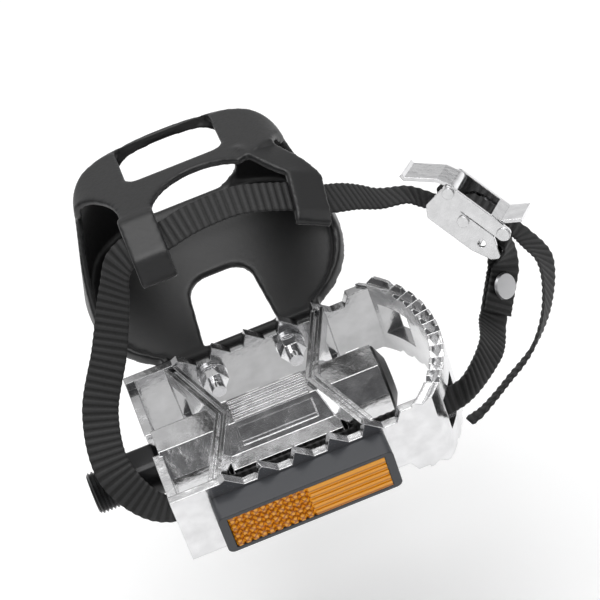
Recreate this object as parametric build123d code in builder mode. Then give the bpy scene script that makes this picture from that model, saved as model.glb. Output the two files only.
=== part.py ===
"""Bicycle pedal with toe clip, strap and reflector, for the right-hand crank.

All sizes are in millimetres. +X runs outboard along the spindle, +Y points to the toe and
+Z is up. The origin lies on the spindle axis, at the shoulder that seats on the crank.
"""

import os
from math import cos, pi, radians, sin, sqrt

from build123d import *

# Spindle
thread_radius = 7.144
thread_length = 12.7
thread_chamfer = 0.9
collar_radius = 8.5
collar_length = 10.6
shoulder_step = 1.2
wrench_flats = 15.0
wrench_rim = 2.0
inner_journal_radius = 6.6
outer_journal_radius = 4.8
shaft_radius = 5.8
stud_radius = 3.9
running_clearance = 0.05

# Bearings and the hardware inside the barrel
inner_bush_wall = 1.6
inner_bush_length = 15.0
outer_bush_wall = 1.6
outer_bush_length = 13.0
bush_flange = 1.5
bush_flange_width = 1.2
seal_thickness = 1.4
seal_width = 2.2
thrust_washer_thickness = 1.2
nut_height = 4.5
nut_across_flats = 12.0
cap_plug_length = 4.0
cap_wall = 1.5
cap_dome = 3.2
cap_slope = 5.0
end_play = 0.1

# Cast body
body_center = 52.0
inner_end = 10.0
barrel_start = 12.3
barrel_end = 89.0
barrel_flat = 12.0
barrel_flat_half = 5.0
cap_bore_depth = 12.0
plate_outer = 30.0
plate_thickness = 3.0
plate_top = 14.4
tooth_tip = 15.4
tooth_root = 10.2
tooth_pitch = 12.0
tooth_slope = 5.5
tooth_rise = 2.0
tooth_count = 5
quill_reach = 112.0
quill_corner = 100.0
quill_wall = 4.8
quill_height = 15.4
serration_pitch = 5.4
serration_depth = 1.5
strap_window_near = 14.5
strap_window_far = 25.5
strap_window_half = 7.2
strap_passage_near = 18.2
rib_root = 15.7
rib_spread = 26.5
rib_thickness = 4.2
rib_height = 13.8
rib_groove = 1.5
rib_groove_depth = 1.3
web_half_length = 19.0
web_depth = 6.0
web_half_height = 5.0
panel_length = 26.0
panel_width = 6.2
panel_depth = 0.8
panel_groove = 1.3
panel_groove_depth = 1.8
ridge_length = 26.0
ridge_width = 1.0
ridge_height = 0.6
ridge_spacing = 2.2
ridge_count = 5
end_wall_thickness = 3.2
end_wall_half_height = 11.0

# Reflector
reflector_length = 60.0
reflector_height = 17.0
reflector_depth = 9.5
reflector_lift = 0.9
reflector_corner = 2.2
lens_length = 53.7
lens_height = 13.7
lens_thickness = 3.0
lens_fit = 0.15
lens_bar_count = 5
lens_prism_columns = 10
lens_prism_rows = 4
lens_groove_depth = 0.7
reflector_bolt_spread = 17.0
reflector_bolt_radius = 1.9
reflector_nut_flats = 6.5
reflector_nut_height = 2.4
bolt_hole_clearance = 0.15

# Toe clip
clip_wall = 2.6
clip_root_half = 28.0
clip_wide_half = 48.0
clip_wide_y = 63.0
clip_nose_half = 44.0
clip_nose_y = 82.0
clip_front = 97.0
clip_lean = 0.2
clip_sole_rear = 9.4
clip_sole_front = 17.0
clip_hood_front = 54.5
clip_hood_rear = 69.28
clip_hood_end = 41.4
clip_lip = 2.0
clip_flange_low = -6.0
clip_flange_thickness = 2.8
hood_round = 12.0
hood_side_drop = 9.0
side_wall_edge = 71.0
side_wall_waist = 34.0
side_wall_round = 6.0
hood_shoulder_y = 72.0
arch_half = 13.0
arch_narrow = 2.5
arch_end = 61.0
arch_round = 8.0
hood_window_half = 17.0
hood_window_rear = 66.5
hood_arch_end = 58.5
front_opening_half = 20.0
front_opening_round = 9.0
nose_bar_height = 5.0
leg_width = 12.2
leg_inner_edge = 12.4
leg_flat = 16.0
leg_tab = 9.0
leg_tab_angle = 38.0
loop_angle = 8.0
loop_rim = 1.5
loop_width = 9.0
outer_leg_root = 25.5
leg_bend_y = 56.0
outer_loop_offset = 35.0
outer_loop_y = 33.5
outer_loop_height = 57.0
clip_bolt_spread = 13.8
clip_bolt_lift = 4.2
clip_bolt_radius = 2.45
clip_bolt_head = 4.6
clip_bolt_end = 4.0
clip_nut_flats = 8.0
clip_nut_height = 4.0
clip_washer_radius = 5.0
clip_washer_thickness = 1.0
bolt_head_height = 3.0

# Strap and buckle
strap_width = 12.0
strap_thickness = 1.5
strap_fit = 0.45
strap_steps = 2
fold_end = 9.0
layer_gap = 0.3
fold_spread = 0.4
rivet_flat = 5.5
wrap_gap = 0.25
roller_gap = 0.3
rivet_radius = 2.0
rivet_head_radius = 4.6
rivet_head_height = 1.0
rivet_seat = 0.7
cheek_front = 11.0
cheek_end = 2.4
cheek_flange_top = 6.4
cheek_hole_place = -8.3
cheek_hole_rise = 1.8
cheek_hole_radius = 1.4
strut_width = 5.0
strut_end = -12.0
strut_boss = 2.2
base_rear = -8.5
base_face = -1.2
keeper_place = -7.0
keeper_rise = 11.2
keeper_flare = 5.0
buckle_inner_width = 14.0
buckle_cheek = 1.2
buckle_base = 1.2
buckle_bar_radius = 1.5
bar_place = -14.0
bar_rise = 1.5
roller_radius = 3.0
roller_place = 1.0
roller_rise = 4.3
buckle_pin_radius = 1.2
pin_head_radius = 2.0
pin_head = 0.8
pin_fit = 0.05
lever_place = 10.5
lever_rise = 9.2
lever_hub_radius = 2.5
lever_tab_length = 16.0
lever_tab_thickness = 1.2
lever_tab_drop = 6.0
lever_nose = 5.3
side_play = 0.3

os.makedirs("parts", exist_ok=True)


# Places worked out from the sizes above
quill_sag = quill_reach - quill_corner
quill_radius = (plate_outer**2 + quill_sag**2) / (2 * quill_sag)
quill_center = quill_reach - quill_radius
plate_inner = plate_outer - plate_thickness
first_tooth = body_center - (tooth_count - 1) / 2 * tooth_pitch + 1.0
inner_bush_radius = inner_journal_radius + running_clearance + inner_bush_wall
outer_bush_radius = outer_journal_radius + running_clearance + outer_bush_wall
seal_radius = collar_radius + seal_width
seal_bore = collar_radius - shoulder_step + running_clearance
inner_bush_start = barrel_start + seal_thickness + bush_flange
shoulder_place = inner_bush_start - bush_flange - end_play
outer_bush_end = barrel_end - cap_bore_depth
thrust_start = outer_bush_end + bush_flange + end_play
nut_start = thrust_start + thrust_washer_thickness
stud_end = nut_start + nut_height + 1.0
cap_bore_radius = nut_across_flats / sqrt(3) + 1.2 + cap_wall


# Spindle: thread, collar with wrench flats, two journals and the nut's stud
with BuildPart() as spindle:
    with BuildSketch(Plane.XZ):
        with BuildLine():
            Polyline(
                (-thread_length, 0),
                (-thread_length, thread_radius - thread_chamfer),
                (-thread_length + thread_chamfer, thread_radius),
                (0, thread_radius),
                (0, collar_radius),
                (collar_length, collar_radius),
                (collar_length + shoulder_step, collar_radius - shoulder_step),
                (shoulder_place, collar_radius - shoulder_step),
                (shoulder_place, inner_journal_radius),
                (inner_bush_start + inner_bush_length, inner_journal_radius),
                (inner_bush_start + inner_bush_length + 4, shaft_radius),
                (outer_bush_end - outer_bush_length - 4, shaft_radius),
                (outer_bush_end - outer_bush_length, outer_journal_radius),
                (thrust_start, outer_journal_radius),
                (thrust_start, stud_radius),
                (stud_end - 0.6, stud_radius),
                (stud_end, stud_radius - 0.6),
                (stud_end, 0),
                close=True,
            )
        make_face()
    revolve(axis=Axis.X)
    with BuildSketch(Plane.YZ.offset(wrench_rim)):
        Rectangle(4 * collar_radius, 4 * collar_radius)
        Rectangle(4 * collar_radius, wrench_flats, mode=Mode.SUBTRACT)
    extrude(amount=collar_length - wrench_rim, mode=Mode.SUBTRACT)
spindle.part.label = "spindle"

# Dust seal between collar and barrel mouth
with BuildPart() as inner_seal:
    with BuildSketch(Plane.YZ.offset(barrel_start)):
        Circle(seal_radius)
        Circle(seal_bore, mode=Mode.SUBTRACT)
    extrude(amount=seal_thickness)
inner_seal.part.label = "inner_seal"


def flanged_bush(flange_face, direction, length, bore, outside):
    """Plain bearing: a tube whose flange stops it in the barrel."""
    with BuildPart() as bush:
        with BuildSketch(Plane.YZ.offset(flange_face)):
            Circle(outside + bush_flange_width)
        extrude(amount=direction * bush_flange)
        with BuildSketch(Plane.YZ.offset(flange_face)):
            Circle(outside)
        extrude(amount=direction * (bush_flange + length))
        with BuildSketch(Plane.YZ.offset(flange_face)):
            Circle(bore)
        extrude(amount=direction * (bush_flange + length), mode=Mode.SUBTRACT)
    return bush


inner_bush = flanged_bush(
    inner_bush_start - bush_flange,
    1,
    inner_bush_length,
    inner_journal_radius + running_clearance,
    inner_bush_radius,
)
inner_bush.part.label = "inner_bush"
outer_bush = flanged_bush(
    outer_bush_end + bush_flange,
    -1,
    outer_bush_length,
    outer_journal_radius + running_clearance,
    outer_bush_radius,
)
outer_bush.part.label = "outer_bush"

with BuildPart() as thrust_washer:
    with BuildSketch(Plane.YZ.offset(thrust_start)):
        Circle(outer_bush_radius + bush_flange_width)
        Circle(stud_radius, mode=Mode.SUBTRACT)
    extrude(amount=thrust_washer_thickness)
thrust_washer.part.label = "thrust_washer"

with BuildPart() as lock_nut:
    with BuildSketch(Plane.YZ.offset(nut_start)):
        RegularPolygon(nut_across_flats / 2, 6, major_radius=False)
        Circle(stud_radius, mode=Mode.SUBTRACT)
    extrude(amount=nut_height)
lock_nut.part.label = "lock_nut"

# Push-in cap with a sloped rim outside the barrel's end
with BuildPart() as dust_cap:
    with BuildSketch(Plane.XZ):
        with BuildLine():
            cap_rim = barrel_flat - 0.6
            Polyline(
                (barrel_end + cap_dome, 0),
                (barrel_end + cap_wall, 0),
                (barrel_end + cap_wall, cap_bore_radius - cap_wall),
                (barrel_end - cap_plug_length, cap_bore_radius - cap_wall),
                (barrel_end - cap_plug_length, cap_bore_radius),
                (barrel_end, cap_bore_radius),
                (barrel_end, cap_rim),
                (barrel_end + 0.8, cap_rim),
                (barrel_end + cap_dome, cap_rim - cap_slope),
                close=True,
            )
        make_face()
    revolve(axis=Axis.X)
dust_cap.part.label = "dust_cap"


def toothed_outline():
    """Upper edge of a cage plate with raked teeth, closed by its mirror image below."""
    points = [(inner_end, 0), (inner_end, plate_top)]
    points.append((first_tooth - tooth_rise, plate_top))
    for step in range(tooth_count):
        tip = first_tooth + step * tooth_pitch
        points.append((tip, tooth_tip))
        points.append((tip + tooth_slope, tooth_root))
        points.append((tip + tooth_pitch - tooth_rise, tooth_root))
    plate_step = first_tooth + tooth_count * tooth_pitch
    points += [(plate_step, plate_top), (quill_corner, plate_top), (quill_corner, 0)]
    with BuildLine() as outline:
        Polyline(*points)
        mirror(about=Plane.XZ)
    return outline.line


def rib_lines():
    """Centre lines of the four diagonal ribs from the barrel to the plates."""
    with BuildLine() as lines:
        for side in (-1, 1):
            for end in (-1, 1):
                Line(
                    (body_center + end * rib_root, 0),
                    (body_center + end * rib_spread, side * (plate_inner + 1)),
                )
    return lines.line


def barrel_outline():
    """Square with cut corners, the section of the barrel."""
    with BuildLine() as outline:
        Polyline(
            (barrel_flat, -barrel_flat_half),
            (barrel_flat, barrel_flat_half),
            (barrel_flat_half, barrel_flat),
            (-barrel_flat_half, barrel_flat),
            (-barrel_flat, barrel_flat_half),
            (-barrel_flat, -barrel_flat_half),
            (-barrel_flat_half, -barrel_flat),
            (barrel_flat_half, -barrel_flat),
            close=True,
        )
    return outline.line


clip_bolt_places = [(body_center + side * clip_bolt_spread, clip_bolt_lift) for side in (-1, 1)]
reflector_bolt_places = [(body_center + side * reflector_bolt_spread, reflector_lift) for side in (-1, 1)]
strap_window_middle = (strap_window_near + strap_window_far) / 2
strap_window_width = strap_window_far - strap_window_near

# Cast body: barrel, toothed plates, quill arc, ribs, web and end walls in one piece
with BuildPart() as body_casting:
    with BuildSketch(Plane.YZ.offset(barrel_start)):
        add(barrel_outline())
        make_face()
    extrude(amount=barrel_end - barrel_start)
    with BuildSketch(Plane.XZ.offset(plate_outer)):
        add(toothed_outline())
        make_face()
    extrude(amount=-plate_thickness)
    with BuildSketch(Plane.XZ.offset(-plate_outer)):
        add(toothed_outline())
        make_face()
    extrude(amount=plate_thickness)
    with BuildSketch(Plane.XY):
        with Locations((quill_center, 0)):
            Circle(quill_radius)
            Circle(quill_radius - quill_wall, mode=Mode.SUBTRACT)
        with Locations((quill_reach, 0)):
            Rectangle(2 * (quill_sag + 2 * quill_wall), 2 * plate_outer, mode=Mode.INTERSECT)
    extrude(amount=quill_height, both=True)
    with BuildSketch(Plane.XY):
        add(rib_lines())
        trace(line_width=rib_thickness)
    extrude(amount=rib_height, both=True)
    with BuildSketch(Plane.XY.offset(rib_height)):
        add(rib_lines())
        trace(line_width=rib_groove)
    extrude(amount=-rib_groove_depth, mode=Mode.SUBTRACT)
    with BuildSketch(Plane.XY.offset(-rib_height)):
        add(rib_lines())
        trace(line_width=rib_groove)
    extrude(amount=rib_groove_depth, mode=Mode.SUBTRACT)
    with BuildSketch(Plane.XY):
        with Locations((body_center, -barrel_flat - web_depth / 2)):
            Rectangle(2 * web_half_length, web_depth + 1)
    extrude(amount=web_half_height, both=True)
    with BuildSketch(Plane.YZ.offset(inner_end)):
        Rectangle(2 * plate_outer, 2 * end_wall_half_height)
        Circle(barrel_flat, mode=Mode.SUBTRACT)
    extrude(amount=end_wall_thickness)
    with BuildSketch(Plane.XY.offset(barrel_flat)):
        with Locations((body_center, 0)):
            with GridLocations(0, ridge_spacing, 1, ridge_count):
                Rectangle(ridge_length, ridge_width)
    extrude(amount=ridge_height)
    # A sunk panel with a groove along its outer edge, on each sloping face of the barrel
    panel_face = (barrel_flat + barrel_flat_half) / 2
    for side in (-1, 1):
        for face in (-1, 1):
            facet = Plane(
                origin=(body_center, side * panel_face, face * panel_face),
                x_dir=(1, 0, 0),
                z_dir=(0, side, face),
            )
            with BuildSketch(facet):
                Rectangle(panel_length, panel_width)
            extrude(amount=-panel_depth, mode=Mode.SUBTRACT)
            with BuildSketch(facet):
                with Locations((0, side * face * (panel_width - panel_groove) / 2)):
                    Rectangle(panel_length, panel_groove)
            extrude(amount=-panel_groove_depth, mode=Mode.SUBTRACT)
    # Barrel interior: seal seat, bush seats, clearance bore and cap bore
    with BuildSketch(Plane.YZ.offset(barrel_start)):
        Circle(inner_bush_radius)
    extrude(amount=barrel_end - barrel_start - outer_bush_length - cap_bore_depth - 4, mode=Mode.SUBTRACT)
    with BuildSketch(Plane.YZ.offset(inner_end)):
        Circle(seal_radius)
    extrude(amount=barrel_start + seal_thickness - inner_end, mode=Mode.SUBTRACT)
    with BuildSketch(Plane.YZ.offset(barrel_start)):
        Circle(inner_bush_radius + bush_flange_width)
    extrude(amount=inner_bush_start - barrel_start, mode=Mode.SUBTRACT)
    with BuildSketch(Plane.YZ.offset(barrel_start)):
        Circle(outer_bush_radius)
    extrude(amount=barrel_end - barrel_start, mode=Mode.SUBTRACT)
    with BuildSketch(Plane.YZ.offset(outer_bush_end)):
        Circle(cap_bore_radius)
    extrude(amount=cap_bore_depth, mode=Mode.SUBTRACT)
    # Strap windows through the quill arc and the inner end wall
    with BuildSketch(Plane.YZ.offset(quill_corner - 2 * quill_wall)):
        with Locations((-strap_window_middle, 0), (strap_window_middle, 0)):
            Rectangle(strap_window_width, 2 * strap_window_half)
    extrude(amount=quill_sag + 3 * quill_wall, mode=Mode.SUBTRACT)
    with BuildSketch(Plane.YZ.offset(inner_end)):
        with Locations((-strap_window_middle, 0), (strap_window_middle, 0)):
            Rectangle(strap_window_width, 2 * strap_window_half + 2)
    extrude(amount=end_wall_thickness, mode=Mode.SUBTRACT)
    # Strap passages through the ribs
    passage_middle = (strap_passage_near + strap_window_far) / 2
    with BuildSketch(Plane.YZ.offset(barrel_start)):
        with Locations((-passage_middle, 0), (passage_middle, 0)):
            Rectangle(strap_window_far - strap_passage_near, 2 * strap_window_half)
    extrude(amount=barrel_end - barrel_start, mode=Mode.SUBTRACT)
    # Bolt holes in the plates
    with BuildSketch(Plane.XZ.offset(-plate_outer)):
        with Locations(*clip_bolt_places):
            Circle(clip_bolt_radius + bolt_hole_clearance)
    extrude(amount=plate_thickness, mode=Mode.SUBTRACT)
    with BuildSketch(Plane.XZ.offset(plate_outer)):
        with Locations(*reflector_bolt_places):
            Circle(reflector_bolt_radius + bolt_hole_clearance)
    extrude(amount=-plate_thickness, mode=Mode.SUBTRACT)
    # Pyramid serrations on the quill's rims: one ring groove crossed by short radial cuts
    serration_arc = quill_radius - quill_wall / 2
    serration_count = int(2 * 0.72 * serration_arc / serration_pitch)
    serration_step = serration_pitch / serration_arc * 180 / pi
    for face in (1, -1):
        with BuildSketch(Plane.XZ):
            with Locations((quill_center + serration_arc, face * quill_height)):
                Rectangle(serration_depth * sqrt(2), serration_depth * sqrt(2), rotation=45)
        revolve(axis=Axis((quill_center, 0, 0), (0, 0, 1)), mode=Mode.SUBTRACT)
        for step in range(serration_count):
            turn = radians((step - (serration_count - 1) / 2) * serration_step)
            rim = Plane(
                origin=(
                    quill_center + (quill_radius + 1) * cos(turn),
                    (quill_radius + 1) * sin(turn),
                    face * quill_height,
                ),
                x_dir=(-sin(turn), cos(turn), 0),
                z_dir=(cos(turn), sin(turn), 0),
            )
            with BuildSketch(rim):
                Rectangle(serration_depth * sqrt(2), serration_depth * sqrt(2), rotation=45)
            extrude(amount=-(quill_wall + 2), mode=Mode.SUBTRACT)
body_casting.part.label = "body_casting"


# Reflector: a moulded housing, its lens and two captive bolts with nuts
reflector_face = plate_outer + reflector_depth
bolt_head_pocket = reflector_nut_flats / 2 + bolt_hole_clearance
with BuildPart() as reflector_housing:
    with BuildSketch(Plane.XZ.offset(plate_outer)):
        with Locations((body_center, reflector_lift)):
            RectangleRounded(reflector_length, reflector_height, reflector_corner)
    extrude(amount=reflector_depth)
    with BuildSketch(Plane.XZ.offset(reflector_face)):
        with Locations((body_center, reflector_lift)):
            Rectangle(lens_length + 2 * lens_fit, lens_height + 2 * lens_fit)
    extrude(amount=-lens_thickness, mode=Mode.SUBTRACT)
    with BuildSketch(Plane.XZ.offset(plate_outer)):
        with Locations(*reflector_bolt_places):
            Circle(reflector_bolt_radius + bolt_hole_clearance)
    extrude(amount=reflector_depth - lens_thickness, mode=Mode.SUBTRACT)
    with BuildSketch(Plane.XZ.offset(reflector_face - lens_thickness)):
        with Locations(*reflector_bolt_places):
            RegularPolygon(bolt_head_pocket, 6, major_radius=False)
    extrude(amount=-reflector_nut_height, mode=Mode.SUBTRACT)
reflector_housing.part.label = "reflector_housing"

lens_half = lens_length / 2
prism_pitch_x = lens_half / lens_prism_columns
prism_pitch_z = lens_height / lens_prism_rows
bar_pitch = lens_height / lens_bar_count
with BuildPart() as reflector_lens:
    with BuildSketch(Plane.XZ.offset(reflector_face - lens_thickness)):
        with Locations((body_center, reflector_lift)):
            Rectangle(lens_length, lens_height)
    extrude(amount=lens_thickness)
    # Crossed grooves leave a field of small prisms on the inner half
    with BuildSketch(Plane.XY.offset(reflector_lift - lens_height / 2)):
        with Locations((body_center - lens_half / 2, -reflector_face)):
            with GridLocations(prism_pitch_x, 0, lens_prism_columns + 1, 1):
                Rectangle(lens_groove_depth * sqrt(2), lens_groove_depth * sqrt(2), rotation=45)
    extrude(amount=lens_height, mode=Mode.SUBTRACT)
    with BuildSketch(Plane.YZ.offset(body_center - lens_half)):
        with Locations((-reflector_face, reflector_lift)):
            with GridLocations(0, prism_pitch_z, 1, lens_prism_rows - 1):
                Rectangle(lens_groove_depth * sqrt(2), lens_groove_depth * sqrt(2), rotation=45)
    extrude(amount=lens_half, mode=Mode.SUBTRACT)
    # Plain bars run along the outer half
    with BuildSketch(Plane.YZ.offset(body_center)):
        with Locations((-reflector_face, reflector_lift)):
            with GridLocations(0, bar_pitch, 1, lens_bar_count - 1):
                Rectangle(lens_groove_depth, 2 * lens_groove_depth)
    extrude(amount=lens_half, mode=Mode.SUBTRACT)
reflector_lens.part.label = "reflector_lens"

with BuildPart() as reflector_bolts:
    with BuildSketch(Plane.XZ.offset(reflector_face - lens_thickness)):
        with Locations(*reflector_bolt_places):
            RegularPolygon(reflector_nut_flats / 2, 6, major_radius=False)
    extrude(amount=-reflector_nut_height)
    with BuildSketch(Plane.XZ.offset(reflector_face - lens_thickness)):
        with Locations(*reflector_bolt_places):
            Circle(reflector_bolt_radius)
    extrude(amount=-(reflector_depth - lens_thickness + plate_thickness + reflector_nut_height + 0.8))
reflector_bolts.part.label = "reflector_bolts"

with BuildPart() as reflector_nuts:
    with BuildSketch(Plane.XZ.offset(plate_inner)):
        with Locations(*reflector_bolt_places):
            RegularPolygon(reflector_nut_flats / 2, 6, major_radius=False)
            Circle(reflector_bolt_radius, mode=Mode.SUBTRACT)
    extrude(amount=-reflector_nut_height)
reflector_nuts.part.label = "reflector_nuts"


# Toe clip: a lofted basket cut to its side outline, hollowed, opened, and given its two strap legs
clip_high = clip_hood_rear + 6
clip_root_y = plate_outer + clip_flange_thickness
sole_slope = (clip_sole_front - clip_sole_rear) / (clip_front - 4 - clip_root_y)
hood_slope = (clip_hood_rear - clip_hood_front) / (clip_front - 6 - clip_hood_end)
loop_height = strap_thickness + 2 * strap_fit
loop_length = strap_width + 2 * strap_fit + 2 * loop_rim


def sole_under(y):
    """Height of the sole's underside at a distance forward of the spindle."""
    return clip_sole_rear + sole_slope * (y - clip_root_y)


def hood_over(y):
    """Height of the hood's outer face at a distance forward of the spindle."""
    return clip_hood_rear - hood_slope * (y - clip_hood_end)


def clip_plan(height, inset):
    """Plan outline of the basket at a height, with walls that lean inwards as they rise."""
    lean = clip_lean * height + inset
    wide = clip_wide_half - lean
    nose = clip_nose_half - lean
    root = clip_root_half - inset
    front = clip_front - inset
    with BuildSketch(Plane((body_center, 0, height))) as plan:
        with BuildLine():
            Polyline((root, clip_root_y), (root, 0), (-root, 0), (-root, clip_root_y))
            Spline(
                (-root, clip_root_y),
                (-wide, clip_wide_y),
                (-nose, clip_nose_y),
                (0, front),
                (nose, clip_nose_y),
                (wide, clip_wide_y),
                (root, clip_root_y),
            )
        make_face()
    return plan.sketch


def clip_side(inset):
    """Side outline of the basket: rising sole, upright nose and a hood that climbs to the rear."""
    with BuildSketch(Plane.YZ.offset(body_center)) as side:
        with BuildLine():
            Polyline(
                (-clip_wall, sole_under(-clip_wall)),
                (clip_front - 4, clip_sole_front),
                (clip_front + clip_wall, clip_sole_front + 10),
                (clip_front + clip_wall, clip_hood_front - 4),
                (clip_front - 6, clip_hood_front),
                (-clip_wall, hood_over(-clip_wall)),
                close=True,
            )
        make_face()
        if inset:
            offset(amount=-inset, kind=Kind.INTERSECTION, mode=Mode.REPLACE)
    return side.sketch


def basket(inset):
    """Solid toe box, smaller all round by the inset, with its hood rounded into its sides."""
    with BuildPart() as solid:
        loft([clip_plan(0, inset), clip_plan(clip_high, inset)], ruled=True)
        extrude(clip_side(inset), amount=2 * clip_wide_half, both=True, mode=Mode.INTERSECT)
        with BuildSketch(Plane.XZ.offset(-clip_front)) as hood_outline:
            top = hood_over(clip_front) - inset
            high = clip_wide_half - clip_lean * top - inset
            low = clip_wide_half + clip_lean * clip_high - inset
            with Locations((body_center, 0)):
                Polygon((low, -clip_high), (high, top), (-high, top), (-low, -clip_high), align=None)
            fillet(hood_outline.vertices().group_by(Axis.Z)[-1], hood_round - inset)
        extrude(amount=3 * clip_front, dir=(0, -1, hood_slope), mode=Mode.INTERSECT)
    return solid.part


leg_outer_edge = leg_inner_edge + leg_width
loop_drop = clip_wall + loop_height / 2
inner_loop_y = clip_hood_end - leg_flat / 2
inner_loop_height = clip_hood_rear - leg_flat / 2 * sin(radians(loop_angle)) - loop_drop
inner_loop = Plane(
    origin=(body_center - leg_outer_edge + leg_width / 2, inner_loop_y, inner_loop_height),
    x_dir=(0, -cos(radians(loop_angle)), -sin(radians(loop_angle))),
    z_dir=(-1, 0, 0),
)
outer_loop = Plane(
    origin=(body_center + outer_loop_offset, outer_loop_y, outer_loop_height),
    x_dir=(0.2, -0.93, -0.3),
    z_dir=(-0.85, 0.05, 0.52),
)

def on_outer_leg(along, lower):
    """Plane across the outer leg, at a distance along its loop from the slot's middle."""
    middle = outer_loop.from_local_coords(Vector(along, loop_height / 2 + clip_wall / 2 - lower, 0))
    return Plane(origin=middle, x_dir=-outer_loop.z_dir, z_dir=outer_loop.x_dir)


# The outer leg leaves the hood beside its rolled edge, swings outwards and tips to its loop
leg_start_y = leg_bend_y + 8
hood_middle = hood_over(leg_bend_y) - clip_wall / 2
outer_leg_bend = [
    Plane(
        origin=(body_center + outer_leg_root, leg_start_y, hood_over(leg_start_y) - clip_wall / 2 - 0.9),
        x_dir=(1, 0, -0.16),
        z_dir=(0.3, -1, hood_slope),
    ),
    Plane(
        origin=(body_center + outer_leg_root + 2.5, leg_bend_y, hood_middle - 1.7),
        x_dir=(1, 0, -0.36),
        z_dir=(0.45, -1, 0.15),
    ),
    Plane(
        origin=(body_center + outer_leg_root + 7, leg_bend_y - 7, hood_middle - 2.2),
        x_dir=(1, 0, -0.5),
        z_dir=(0.5, -1, -0.2),
    ),
    on_outer_leg(-loop_length / 2, 0),
]
outer_leg_end = [
    on_outer_leg(-loop_length / 2, 0),
    on_outer_leg(loop_length / 2, 0),
    on_outer_leg(loop_length / 2 + leg_tab / 2, leg_tab / 6),
]


def leg_section(place):
    """Cross-section of the moulded leg on a plane."""
    with BuildSketch(place) as section:
        Rectangle(leg_width, clip_wall)
    return section.sketch


basket_outside = basket(0)
basket_inside = basket(clip_wall)

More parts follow.
